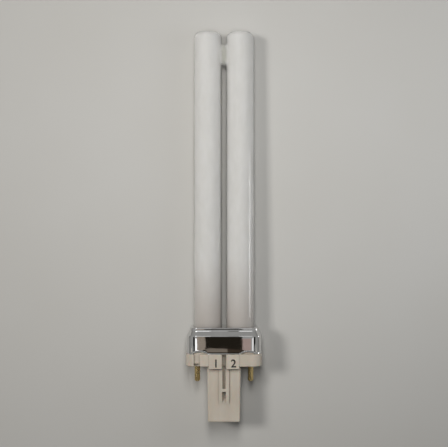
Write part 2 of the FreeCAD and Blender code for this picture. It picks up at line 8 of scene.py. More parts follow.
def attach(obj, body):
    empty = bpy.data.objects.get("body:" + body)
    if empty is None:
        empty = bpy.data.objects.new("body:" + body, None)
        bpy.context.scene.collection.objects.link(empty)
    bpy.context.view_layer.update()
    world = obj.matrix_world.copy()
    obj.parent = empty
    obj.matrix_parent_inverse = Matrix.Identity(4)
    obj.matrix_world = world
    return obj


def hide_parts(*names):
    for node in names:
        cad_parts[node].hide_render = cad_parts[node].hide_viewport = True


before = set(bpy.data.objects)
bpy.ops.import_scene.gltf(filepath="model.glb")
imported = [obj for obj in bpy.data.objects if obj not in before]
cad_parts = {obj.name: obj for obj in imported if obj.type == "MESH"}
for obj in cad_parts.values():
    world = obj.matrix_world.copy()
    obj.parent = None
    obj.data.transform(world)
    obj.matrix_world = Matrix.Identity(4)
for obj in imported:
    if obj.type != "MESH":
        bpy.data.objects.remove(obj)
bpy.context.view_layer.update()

# A two-pin fluorescent lamp lying on its back: white coated glass tubes along +Y, a polished
# metal collar, a moulded plastic base with a hollow post, and two brass contact pins.
# Sizes are in millimetres in three directions: across (X), along (Y, counted from the seat plane
# where the flange meets a lamp holder) and front (Z, counted from the lamp's own axis). Angles
# are in degrees.

mm = 0.001
seatPlane = -59.6
axisHeight = 8.95
weldDistance = 1e-7  # in metres, far below any size of the lamp
capStep = 0.001  # a flat end still climbs this far, because a swept line may not stand still


def place(across, along, front):
    return Vector((across * mm, (along + seatPlane) * mm, (front + axisHeight) * mm))


def linear(hexColour):
    # sRGB hex to the linear colour that the shaders take
    parts = [int(hexColour[i:i + 2], 16) / 255 for i in (1, 3, 5)]
    bright = [part / 12.92 if part <= 0.04045 else ((part + 0.055) / 1.055) ** 2.4
              for part in parts]
    return (*bright, 1.0)


def setInputs(tree, node, inputs):
    # a socket, or the first live output of a node, is linked, and all else is a plain value
    for name, value in inputs.items():
        if isinstance(value, bpy.types.Node):
            value = next(output for output in value.outputs if output.enabled)
        if isinstance(value, bpy.types.NodeSocket):
            tree.links.new(value, node.inputs[name])
        else:
            node.inputs[name].default_value = value


def addNode(tree, kind, inputs=None, **settings):
    # a Mix node that blends colours takes its share as input 0 and the colours as 6 and 7
    node = tree.nodes.new(kind)
    for name, value in settings.items():
        setattr(node, name, value)
    setInputs(tree, node, inputs or {})
    return node


def makeObject(name, mesh, material=None, smoothAngle=None):
    piece = bpy.data.objects.new(name, mesh)
    bpy.context.scene.collection.objects.link(piece)
    if material:
        mesh.materials.clear()
        mesh.materials.append(material)
    if smoothAngle is not None:
        mesh.shade_smooth()
        mesh.set_sharp_from_angle(angle=math.radians(smoothAngle))
    return piece


def meshFromRings(name, rings, capped=True):
    # a skin over rings of points, each ring as long as the next
    points = [point for ring in rings for point in ring]
    count = len(rings[0])
    faces = []
    for ring in range(len(rings) - 1):
        for step in range(count):
            a, b = ring * count + step, ring * count + (step + 1) % count
            faces.append((a, b, b + count, a + count))
    if capped:
        faces.append(tuple(reversed(range(count))))
        faces.append(tuple(range(len(points) - count, len(points))))
    mesh = bpy.data.meshes.new(name)
    mesh.from_pydata(points, [], faces)
    return mesh


def tidyMesh(mesh):
    # welds doubled points, drops faces without area and turns the rest outwards
    work = bmesh.new()
    work.from_mesh(mesh)
    bmesh.ops.remove_doubles(work, verts=work.verts, dist=weldDistance)
    bmesh.ops.dissolve_degenerate(work, edges=work.edges, dist=weldDistance)
    bmesh.ops.recalc_face_normals(work, faces=work.faces)
    work.to_mesh(mesh)
    work.free()
    mesh.update()
    return mesh


def joinMeshes(name, meshes):
    work = bmesh.new()
    for mesh in meshes:
        work.from_mesh(mesh)
        bpy.data.meshes.remove(mesh)
    joined = bpy.data.meshes.new(name)
    work.to_mesh(joined)
    work.free()
    return joined


def bakeModifiers(name, base):
    # the evaluated result as a plain mesh; the object that carried the modifiers goes
    bpy.context.view_layer.update()
    depsgraph = bpy.context.evaluated_depsgraph_get()
    mesh = bpy.data.meshes.new_from_object(base.evaluated_get(depsgraph))
    mesh.name = name
    bpy.data.objects.remove(base, do_unlink=True)
    return mesh


def combineMeshes(name, first, others, operation="UNION"):
    # one closed skin, with the others fused to the first or cut out of it
    base = makeObject(name + "Base", first)
    tools = [makeObject(name + "Tool", mesh) for mesh in others]
    for tool in tools:
        combine = base.modifiers.new("combine", "BOOLEAN")
        combine.operation, combine.solver, combine.object = operation, "EXACT", tool
    combined = bakeModifiers(name, base)
    for tool in tools:
        bpy.data.objects.remove(tool, do_unlink=True)
    return combined


# Materials: each starts from the real one's name and how its surface was made. The Scale of a
# pattern is one over the size of its blotches. Grain, draw lines and turned rings are coarser
# here than on a real lamp, where they are too fine to show.


def newMaterial(name):
    material = bpy.data.materials.new(name)
    material.use_nodes = True
    tree = material.node_tree
    tree.nodes.clear()
    shader = addNode(tree, "ShaderNodeBsdfPrincipled")
    addNode(tree, "ShaderNodeOutputMaterial", {"Surface": shader})
    coords = addNode(tree, "ShaderNodeTexCoord").outputs["Object"]
    return material, tree, shader, coords


# along the lamp from the middle of its box: where the powder turns greyer towards the base end,
# and the thin patch
powderSizes = {"greyFrom": -14.0, "greyTo": -45.0, "thinAlong": 73.5, "thinHalfWidth": 1.7,
               "thinHalfHeight": 6.2}


def coatedGlass(sizes):
    # soda-lime glass, drawn into tube, with a white powder coat baked on its inside: a clear,
    # wet-looking gloss over a chalky white that is a little uneven and greyer towards the base end
    material, tree, shader, coords = newMaterial("powderCoatedGlass")
    drawn = addNode(tree, "ShaderNodeMapping", {"Vector": coords, "Scale": (1, 0.35, 1)})
    mottling = addNode(tree, "ShaderNodeTexNoise",
                       {"Vector": drawn, "Scale": 1 / (2.6 * mm), "Detail": 4.0})
    mottled = addNode(tree, "ShaderNodeMapRange",
                      {"Value": mottling, "From Min": 0.3, "From Max": 0.7})
    powder = addNode(tree, "ShaderNodeMix",
                     {0: mottled, 6: linear("#D9D8D5"), 7: linear("#DFDEDC")}, data_type="RGBA")
    along = addNode(tree, "ShaderNodeSeparateXYZ", {"Vector": coords}).outputs["Y"]
    # the powder's colour turns greyer from here towards the base end
    towardsBase = addNode(tree, "ShaderNodeMapRange",
                      {"Value": along, "From Min": sizes["greyFrom"] * mm,
                       "From Max": sizes["greyTo"] * mm})
    powder = addNode(tree, "ShaderNodeMix", {0: towardsBase, 6: powder, 7: linear("#BDB6B0")},
                     data_type="RGBA")
    # the two legs were fused here, and the powder is thin on the drawn glass between them
    wide, high = sizes["thinHalfWidth"], sizes["thinHalfHeight"]
    fromBridge = addNode(tree, "ShaderNodeMapping",
                         {"Vector": coords, "Location": (0, -sizes["thinAlong"] / high, 0),
                          "Scale": (1 / (wide * mm), 1 / (high * mm), 0)})
    away = addNode(tree, "ShaderNodeVectorMath", {0: fromBridge}, operation="LENGTH")
    thin = addNode(tree, "ShaderNodeMapRange",
                   {"Value": away.outputs["Value"], "From Min": 0.35, "From Max": 1.0,
                    "To Min": 0.75, "To Max": 0})
    powder = addNode(tree, "ShaderNodeMix", {0: thin, 6: powder, 7: linear("#B9B9AE")},
                     data_type="RGBA")
    pulled = addNode(tree, "ShaderNodeMapping", {"Vector": coords, "Scale": (1, 0.3, 1)})
    waves = addNode(tree, "ShaderNodeTexNoise",
                    {"Vector": pulled, "Scale": 1 / (9.0 * mm), "Detail": 1.0})
    uneven = addNode(tree, "ShaderNodeBump",
                     {"Height": waves, "Strength": 0.05, "Distance": 0.4 * mm})
    # light spreads sideways in the powder and the glass wall, so the legs look evenly white
    setInputs(tree, shader, {"Base Color": powder, "Roughness": 0.34, "IOR": 1.52,
                             "Coat Weight": 1.0, "Coat Roughness": 0.03, "Normal": uneven,
                             "Subsurface Weight": 1.0, "Subsurface Scale": 0.008,
                             "Subsurface Radius": (1.0, 0.98, 0.95)})
    return material


def polishedAluminium():
    # aluminium sheet, deep drawn and bright dipped: a mirror with faint draw lines up its walls
    # and a very slight waviness that bends what it reflects
    material, tree, shader, coords = newMaterial("brightDrawnAluminium")
    drawn = addNode(tree, "ShaderNodeMapping", {"Vector": coords, "Scale": (1, 0.06, 1)})
    drawLines = addNode(tree, "ShaderNodeTexNoise",
                        {"Vector": drawn, "Scale": 1 / (0.35 * mm), "Detail": 2.0})
    cloud = addNode(tree, "ShaderNodeTexNoise",
                    {"Vector": coords, "Scale": 1 / (3.5 * mm), "Detail": 3.0})
    metal = addNode(tree, "ShaderNodeMix",
                    {0: cloud, 6: linear("#D8D7D6"), 7: linear("#E6E6E6")}, data_type="RGBA")
    polish = addNode(tree, "ShaderNodeMapRange",
                     {"Value": drawLines, "From Min": 0.3, "From Max": 0.75,
                      "To Min": 0.01, "To Max": 0.035})
    dents = addNode(tree, "ShaderNodeTexNoise",
                    {"Vector": coords, "Scale": 1 / (5.0 * mm), "Detail": 1.0})
    bent = addNode(tree, "ShaderNodeBump",
                   {"Height": dents, "Strength": 0.012, "Distance": 0.5 * mm})
    scored = addNode(tree, "ShaderNodeBump",
                     {"Height": drawLines, "Strength": 0.0008, "Distance": 0.5 * mm,
                      "Normal": bent})
    setInputs(tree, shader, {"Base Color": metal, "Metallic": 1.0, "Roughness": polish,
                             "Normal": scored})
    return material


def mouldedPlastic():
    # glass-filled polyester, injection moulded: cream white, satin, with a fine spark-eroded
    # grain, faint flow marks down the post and a few darker specks
    material, tree, shader, coords = newMaterial("mouldedPolyester")
    flowWay = addNode(tree, "ShaderNodeMapping", {"Vector": coords, "Scale": (1, 0.3, 1)})
    flow = addNode(tree, "ShaderNodeTexNoise",
                   {"Vector": flowWay, "Scale": 1 / (4.0 * mm), "Detail": 3.0})
    flowMarks = addNode(tree, "ShaderNodeMapRange",
                        {"Value": flow, "From Min": 0.3, "From Max": 0.7})
    cream = addNode(tree, "ShaderNodeMix",
                    {0: flowMarks, 6: linear("#C7BCAD"), 7: linear("#D2C9BB")}, data_type="RGBA")
    speck = addNode(tree, "ShaderNodeTexNoise",
                    {"Vector": coords, "Scale": 1 / (0.5 * mm), "Detail": 2.0})
    specks = addNode(tree, "ShaderNodeMapRange",
                     {"Value": speck, "From Min": 0.62, "From Max": 0.74, "To Max": 0.25})
    cream = addNode(tree, "ShaderNodeMix", {0: specks, 6: cream, 7: linear("#B5A893")},
                    data_type="RGBA")
    # painted shade: the base colour is darkened towards a brown grey in the grooves and recesses,
    # where little of the sky is seen
    corner = addNode(tree, "ShaderNodeAmbientOcclusion", {"Distance": 2.2 * mm}, samples=12,
                     only_local=True).outputs["AO"]
    paintedRecessShade = addNode(tree, "ShaderNodeMapRange",
                   {"Value": corner, "From Min": 0.4, "From Max": 0.94, "To Min": 0.55,
                    "To Max": 0})
    # the painted shade in the recesses is mixed into the plastic's colour here
    cream = addNode(tree, "ShaderNodeMix", {0: paintedRecessShade, 6: cream, 7: linear("#6B5F50")},
                    data_type="RGBA")
    grain = addNode(tree, "ShaderNodeTexNoise",
                    {"Vector": coords, "Scale": 1 / (0.22 * mm), "Detail": 2.0})
    satin = addNode(tree, "ShaderNodeMapRange",
                    {"Value": grain, "From Min": 0.3, "From Max": 0.7, "To Min": 0.38,
                     "To Max": 0.52})
    flowed = addNode(tree, "ShaderNodeBump",
                     {"Height": flow, "Strength": 0.03, "Distance": 0.15 * mm})
    grained = addNode(tree, "ShaderNodeBump",
                      {"Height": grain, "Strength": 0.05, "Distance": 0.15 * mm,
                       "Normal": flowed})
    setInputs(tree, shader, {"Base Color": cream, "Roughness": satin, "IOR": 1.56,
                             "Normal": grained, "Subsurface Weight": 0.12,
                             "Subsurface Scale": 0.0008})
    return material


def turnedBrass():
    # free-cutting brass, turned and tumbled: yellow metal, fine rings round it, darker tarnish
    # in patches where it was handled
    material, tree, shader, coords = newMaterial("turnedBrass")
    ringWay = addNode(tree, "ShaderNodeMapping", {"Vector": coords, "Scale": (0.02, 1, 0.02)})
    rings = addNode(tree, "ShaderNodeTexNoise",
                    {"Vector": ringWay, "Scale": 1 / (0.12 * mm), "Detail": 1.0})
    tarnish = addNode(tree, "ShaderNodeTexNoise",
                      {"Vector": coords, "Scale": 1 / (1.6 * mm), "Detail": 4.0})
    patches = addNode(tree, "ShaderNodeMapRange",
                      {"Value": tarnish, "From Min": 0.42, "From Max": 0.85})
    metal = addNode(tree, "ShaderNodeMix",
                    {0: patches, 6: linear("#CDB986"), 7: linear("#A0875A")}, data_type="RGBA")
    dull = addNode(tree, "ShaderNodeMapRange",
                   {"Value": tarnish, "From Min": 0.4, "From Max": 0.7, "To Min": 0.16,
                    "To Max": 0.34})
    turned = addNode(tree, "ShaderNodeBump",
                     {"Height": rings, "Strength": 0.05, "Distance": 0.05 * mm})
    setInputs(tree, shader, {"Base Color": metal, "Metallic": 1.0, "Roughness": dull,
                             "Normal": turned})
    return material


def castCement():
    # lamp cement, poured and set: chalky, off white, with small pores
    material, tree, shader, coords = newMaterial("lampCement")
    grit = addNode(tree, "ShaderNodeTexNoise",
                   {"Vector": coords, "Scale": 1 / (0.4 * mm), "Detail": 5.0})
    chalk = addNode(tree, "ShaderNodeMix",
                    {0: grit, 6: linear("#BDB7AB"), 7: linear("#DAD6CC")}, data_type="RGBA")
    dry = addNode(tree, "ShaderNodeMapRange",
                  {"Value": grit, "From Min": 0.3, "From Max": 0.7, "To Min": 0.8,
                   "To Max": 0.95})
    pores = addNode(tree, "ShaderNodeBump",
                    {"Height": grit, "Strength": 0.4, "Distance": 0.2 * mm})
    setInputs(tree, shader, {"Base Color": chalk, "Roughness": dry, "Normal": pores})
    return material


def bottleGlass():
    # thin soft glass, blown: clear, faintly green where it is thick
    material, tree, shader, coords = newMaterial("blownBottleGlass")
    cloud = addNode(tree, "ShaderNodeTexNoise",
                    {"Vector": coords, "Scale": 1 / (2.0 * mm), "Detail": 2.0})
    tint = addNode(tree, "ShaderNodeMix",
                   {0: cloud, 6: linear("#DCE6E0"), 7: linear("#EEF3F0")}, data_type="RGBA")
    gloss = addNode(tree, "ShaderNodeMapRange",
                    {"Value": cloud, "From Min": 0.3, "From Max": 0.7, "To Min": 0.02,
                     "To Max": 0.08})
    setInputs(tree, shader, {"Base Color": tint, "Roughness": gloss, "IOR": 1.5,
                             "Transmission Weight": 0.85})
    return material


def dippedResin():
    # epoxy dip coating, brown and glossy, with the soft sags of a dip
    material, tree, shader, coords = newMaterial("dippedEpoxy")
    sag = addNode(tree, "ShaderNodeTexNoise",
                  {"Vector": coords, "Scale": 1 / (2.4 * mm), "Detail": 2.0})
    brown = addNode(tree, "ShaderNodeMix",
                    {0: sag, 6: linear("#8C4A22"), 7: linear("#A4602F")}, data_type="RGBA")
    gloss = addNode(tree, "ShaderNodeMapRange",
                    {"Value": sag, "From Min": 0.3, "From Max": 0.7, "To Min": 0.14,
                     "To Max": 0.28})
    sagged = addNode(tree, "ShaderNodeBump",
                     {"Height": sag, "Strength": 0.2, "Distance": 0.3 * mm})
    setInputs(tree, shader, {"Base Color": brown, "Roughness": gloss, "IOR": 1.55,
                             "Normal": sagged})
    return material


def tinnedWire():
    # copper-clad wire, tinned and drawn: dull silver with lengthwise streaks
    material, tree, shader, coords = newMaterial("tinnedWire")
    drawn = addNode(tree, "ShaderNodeMapping", {"Vector": coords, "Scale": (1, 0.1, 1)})
    streaks = addNode(tree, "ShaderNodeTexNoise",
                      {"Vector": drawn, "Scale": 1 / (0.2 * mm), "Detail": 2.0})
    silver = addNode(tree, "ShaderNodeMix",
                     {0: streaks, 6: linear("#A9A8A4"), 7: linear("#CFCECB")}, data_type="RGBA")
    dull = addNode(tree, "ShaderNodeMapRange",
                   {"Value": streaks, "From Min": 0.3, "From Max": 0.7, "To Min": 0.22,
                    "To Max": 0.4})
    setInputs(tree, shader, {"Base Color": silver, "Metallic": 1.0, "Roughness": dull})
    return material


def printedInk():
    # black ink, pad printed and a little worn: matt, thin enough for the grain to break it up
    material, tree, shader, coords = newMaterial("padPrintedInk")
    worn = addNode(tree, "ShaderNodeTexNoise",
                   {"Vector": coords, "Scale": 1 / (0.35 * mm), "Detail": 3.0})
    bare = addNode(tree, "ShaderNodeMapRange", {"Value": worn, "From Min": 0.5, "From Max": 0.8})
    black = addNode(tree, "ShaderNodeMix",
                    {0: bare, 6: linear("#26241F"), 7: linear("#6A6358")}, data_type="RGBA")
    matt = addNode(tree, "ShaderNodeMapRange",
                   {"Value": worn, "From Min": 0.3, "From Max": 0.7, "To Min": 0.45,
                    "To Max": 0.65})
    setInputs(tree, shader, {"Base Color": black, "Roughness": matt})
    return material


glassFinish = coatedGlass(powderSizes)
aluminiumFinish = polishedAluminium()
plasticFinish = mouldedPlastic()
brassFinish = turnedBrass()
print("materials made")

# Camera, straight above the lamp as in the photograph, its height counted from the lamp's axis

cameraPlace = {"height": 400.0, "lens": 74.57, "up": 0.9}
cameraData = bpy.data.cameras.new("camera")
cameraData.lens = cameraPlace["lens"]
cameraData.clip_start = 0.01
camera = bpy.data.objects.new("camera", cameraData)
camera.location = (0, cameraPlace["up"] * mm, (axisHeight + cameraPlace["height"]) * mm)
bpy.context.scene.collection.objects.link(camera)
bpy.context.scene.camera = camera

# Turned pieces: a profile along its own axis, swept round by Geometry Nodes


def turnedTree():
    # rings round a straight line, as wide as the line's ringRadius, copied side by side
    tree = bpy.data.node_groups.new("turnedPair", "GeometryNodeTree")
    tree.is_modifier = True
    for name, kind in (("Geometry", "NodeSocketGeometry"), ("Around", "NodeSocketInt"),
                       ("Spacing", "NodeSocketFloat"), ("Material", "NodeSocketMaterial")):
        tree.interface.new_socket(name, in_out="INPUT", socket_type=kind)
    tree.interface.new_socket("Geometry", in_out="OUTPUT", socket_type="NodeSocketGeometry")
    given = addNode(tree, "NodeGroupInput").outputs
    line = addNode(tree, "GeometryNodeMeshToCurve", {"Mesh": given["Geometry"]})
    radius = addNode(tree, "GeometryNodeInputNamedAttribute", {"Name": "ringRadius"},
                     data_type="FLOAT")
    ring = addNode(tree, "GeometryNodeCurvePrimitiveCircle",
                   {"Resolution": given["Around"], "Radius": 1.0})
    skin = addNode(tree, "GeometryNodeCurveToMesh",
                   {"Curve": line, "Profile Curve": ring, "Scale": radius})
    welded = addNode(tree, "GeometryNodeMergeByDistance",
                     {"Geometry": skin, "Distance": weldDistance})
    half = addNode(tree, "ShaderNodeMath", {0: given["Spacing"], 1: -0.5}, operation="MULTIPLY")
    start = addNode(tree, "ShaderNodeCombineXYZ", {"X": half})
    step = addNode(tree, "ShaderNodeCombineXYZ", {"X": given["Spacing"]})
    row = addNode(tree, "GeometryNodeMeshLine",
                  {"Count": 2, "Start Location": start, "Offset": step})
    copies = addNode(tree, "GeometryNodeInstanceOnPoints", {"Points": row, "Instance": welded})
    real = addNode(tree, "GeometryNodeRealizeInstances", {"Geometry": copies})
    finished = addNode(tree, "GeometryNodeSetMaterial",
                       {"Geometry": real, "Material": given["Material"]})
    addNode(tree, "NodeGroupOutput", {"Geometry": finished})
    return tree


turnedPair = turnedTree()


def makeTurnedPair(name, profile, spacing, around, material):
    # profile holds (radius, along) in mm, from one end to the other
    line = bpy.data.meshes.new(name + "Line")
    line.from_pydata([place(0, along, 0) for radius, along in profile],
                     [(i, i + 1) for i in range(len(profile) - 1)], [])
    line.attributes.new("ringRadius", "FLOAT", "POINT")
    line.attributes["ringRadius"].data.foreach_set("value", [radius * mm for radius, _ in profile])
    base = makeObject(name + "Base", line)
    modifier = base.modifiers.new("turn", "NODES")
    modifier.node_group = turnedPair
    values = {"Around": around, "Spacing": spacing * mm, "Material": material}
    for socket in turnedPair.interface.items_tree:
        if socket.in_out == "INPUT" and socket.name in values:
            modifier[socket.identifier] = values[socket.name]
    return tidyMesh(bakeModifiers(name, base))


def arcPoints(centre, radius, fromDegrees, toDegrees, steps):
    # points on an arc in a (radius, along) profile
    angles = [math.radians(fromDegrees + (toDegrees - fromDegrees) * i / steps)
              for i in range(steps + 1)]
    return [(centre[0] + radius * math.cos(a), centre[1] + radius * math.sin(a)) for a in angles]


# Glass tube: two domed legs, the fused bridge near their tops, a pinched seal at each foot

glassSizes = {
    "top": 143.1, "radius": 5.9, "spacing": 13.9, "domeCorner": 2.5, "domeCrown": 18.0,
    "legFoot": 10.2, "around": 96, "ringsAlong": 46, "cornerSteps": 14, "crownSteps": 8,
    "bridgeDrop": 10.0, "bridgeHeight": 8.4, "bridgeDepth": 4.6, "bridgeFlare": 1.0,
    "bridgeSink": 0.1, "bridgeAround": 72, "bridgeAcross": 14,
    "bridgeRoundness": 0.82,  # between an ellipse at 1 and a box at 0
    "flareStart": 1.1, "flareFinish": 1.5, "beadHeight": 0.22, "beadWidth": 0.35,
    "pinchLength": 3.4, "pinchFoot": 1.8, "pinchWidth": 9.2, "pinchThickness": 2.6,
    "pinchInset": 0.12, "pinchOverlap": 0.2, "pinchRoundness": 0.5, "pinchEdge": 0.12,
    "pinchEnd": 0.97, "smoothBelow": 50,
}
# down a pinched seal: the share of its length, and how far the round has gone flat there
pinchLevels = ((0, 0), (0.12, 0.03), (0.3, 0.16), (0.5, 0.42), (0.7, 0.74), (0.87, 0.95), (1, 1))


def domedProfile(sizes):
    # foot, straight side, corner arc and shallow crown, as (radius, along)
    spread = sizes["radius"] - sizes["domeCorner"]
    reach = sizes["domeCrown"] - sizes["domeCorner"]
    crownCentre = sizes["top"] - sizes["domeCrown"]
    cornerCentre = crownCentre + math.sqrt(reach ** 2 - spread ** 2)
    lean = math.degrees(math.acos(spread / reach))  # where the corner arc meets the crown
    profile = [(0, sizes["legFoot"]), (sizes["radius"], sizes["legFoot"] + capStep)]
    for step in range(1, sizes["ringsAlong"]):
        share = step / sizes["ringsAlong"]
        profile.append((sizes["radius"],
                        sizes["legFoot"] + (cornerCentre - sizes["legFoot"]) * share))
    profile += arcPoints((spread, cornerCentre), sizes["domeCorner"], 0, lean,
                         sizes["cornerSteps"])
    profile += arcPoints((0, crownCentre), sizes["domeCrown"], lean, 90,
                         sizes["crownSteps"])[1:-1]
    profile.append((0, sizes["top"]))
    return profile


def bridgeMesh(sizes):
    # a neck between the legs, round in section, that runs into each leg in a smooth flare
    around, across = sizes["bridgeAround"], sizes["bridgeAcross"]
    roundness = sizes["bridgeRoundness"]
    legCentre, radius = sizes["spacing"] / 2, sizes["radius"]
    middle = sizes["top"] - sizes["bridgeDrop"]
    rings = []
    for stage in range(-across, across + 1):
        s = abs(stage) / across
        side = 1 if stage > 0 else -1
        ring = []
        for i in range(around):
            turn = 2 * math.pi * i / around
            up = math.copysign(abs(math.cos(turn)) ** roundness, math.cos(turn))
            out = math.copysign(abs(math.sin(turn)) ** roundness, math.sin(turn))
            neck = Vector((0, up * sizes["bridgeHeight"] / 2, out * sizes["bridgeDepth"] / 2))
            way = Vector((0, up / sizes["bridgeHeight"], out / sizes["bridgeDepth"])).normalized()
            foot = neck + way * sizes["bridgeFlare"]
            depth = math.sqrt(radius ** 2 - foot.z ** 2)
            foot.x = legCentre - depth + sizes["bridgeSink"]
            slope = Vector((foot.z / depth * way.z, way.y, way.z)).normalized()
            start = Vector((foot.x * sizes["flareStart"], 0, 0))
            finish = slope * sizes["bridgeFlare"] * sizes["flareFinish"]
            point = (neck * (2 * s ** 3 - 3 * s ** 2 + 1) + start * (s ** 3 - 2 * s ** 2 + s)
                     + foot * (3 * s ** 2 - 2 * s ** 3) + finish * (s ** 3 - s ** 2))
            ridge = sizes["beadHeight"] * math.exp(-(point.x / sizes["beadWidth"]) ** 2)
            point += way * ridge  # the bead left where the two softened walls met
            ring.append(place(side * point.x, middle + point.y, point.z))
        rings.append(ring)
    return tidyMesh(meshFromRings("bridge", rings))


def pinchMesh(sizes, side):
    # the foot of a leg, pressed flat while hot
    around, roundness = sizes["around"], sizes["pinchRoundness"]
    halfWidth, halfDepth = sizes["pinchWidth"] / 2, sizes["pinchThickness"] / 2
    radius = sizes["radius"] - sizes["pinchInset"]
    top = sizes["legFoot"] + sizes["pinchOverlap"]
    foot = top - sizes["pinchLength"] - sizes["pinchFoot"]
    stages = [(top - drop * sizes["pinchLength"], flat) for drop, flat in pinchLevels]
    stages += [(foot + sizes["pinchEdge"], 1), (foot, sizes["pinchEnd"])]
    rings = []
    for along, flat in stages:
        ring = []
        for i in range(around):
            turn = 2 * math.pi * i / around
            c, s = math.cos(turn), math.sin(turn)
            boxX = math.copysign(abs(c) ** roundness, c) * halfWidth
            boxZ = math.copysign(abs(s) ** roundness, s) * halfDepth
            x = radius * c * (1 - flat) + boxX * flat
            z = radius * s * (1 - flat) + boxZ * flat
            ring.append(place(side * sizes["spacing"] / 2 + x, along, z))
        rings.append(ring)
    return tidyMesh(meshFromRings("pinch", rings))


legs = makeTurnedPair("legs", domedProfile(glassSizes), glassSizes["spacing"],
                      glassSizes["around"], glassFinish)
glassMesh = combineMeshes("glassTube", legs, [bridgeMesh(glassSizes), pinchMesh(glassSizes, -1),
                                              pinchMesh(glassSizes, 1)])
glassTube = makeObject("glassTube", tidyMesh(glassMesh), glassFinish, glassSizes["smoothBelow"])
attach(glassTube, "root")
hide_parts("glass_tube")
print("glass tube made")

# Collar: one drawn sheet, stepped at the shoulder, arched over each contact

collarSizes = {
    "foot": 5.2, "shoulder": 12.6, "top": 16.0, "halfWidth": 15.6, "halfDepth": 8.2,
    "corner": 3.9, "wall": 0.35, "shoulderRound": 0.5, "shoulderLean": 30, "rampIn": 1.0,
    "rimHollow": 2.5, "rimLean": 2, "rimRound": 0.25, "footFlare": 0.15, "flareHeight": 0.6,
    "holeRadius": 5.96, "holeSpacing": 13.9, "lip": 0.8,
    "archOffset": 10.2, "archHalfWidth": 3.1, "archHeight": 1.1, "archFullness": 0.8,
    "archReach": 3.4, "archFlare": 0.32, "archFlareSlope": 2.2, "archFlareReach": 0.9,
    "archFacing": 0.9,
    "cornerSteps": 18, "longSteps": 96, "shortSteps": 10, "shoulderSteps": 8, "hollowSteps": 12,
    "rimSteps": 9, "holeAround": 96, "smoothBelow": 40,
}
# how far above its foot the collar's wall has rings, close together where it flares
wallRises = (0, 0.06, 0.12, 0.2, 0.3, 0.45, 0.7, 1.0, 1.6, 2.4, 3.4)


def roundedOutline(halfWidth, halfDepth, corner, cornerSteps, longSteps, shortSteps):
    # points round a rounded rectangle and the way each one faces, as (x, z, nx, nz)
    outline = []
    straights = ((longSteps, (1, 0)), (shortSteps, (0, 1)), (longSteps, (-1, 0)),
                 (shortSteps, (0, -1)))
    corners = ((1, -1), (1, 1), (-1, 1), (-1, -1))
    for (steps, way), (sx, sz) in zip(straights, corners):
        cx, cz = sx * (halfWidth - corner), sz * (halfDepth - corner)
        facing = (way[1], -way[0])
        endX, endZ = cx + facing[0] * corner, cz + facing[1] * corner
        run = 2 * (halfWidth - corner) if way[0] else 2 * (halfDepth - corner)
        for i in range(steps):
            back = run * (1 - i / steps)
            outline.append((endX - way[0] * back, endZ - way[1] * back, *facing))
        start = math.atan2(facing[1], facing[0])
        for i in range(cornerSteps):
            turn = start + math.pi / 2 * i / cornerSteps
            outline.append((cx + corner * math.cos(turn), cz + corner * math.sin(turn),
                            math.cos(turn), math.sin(turn)))
    return outline


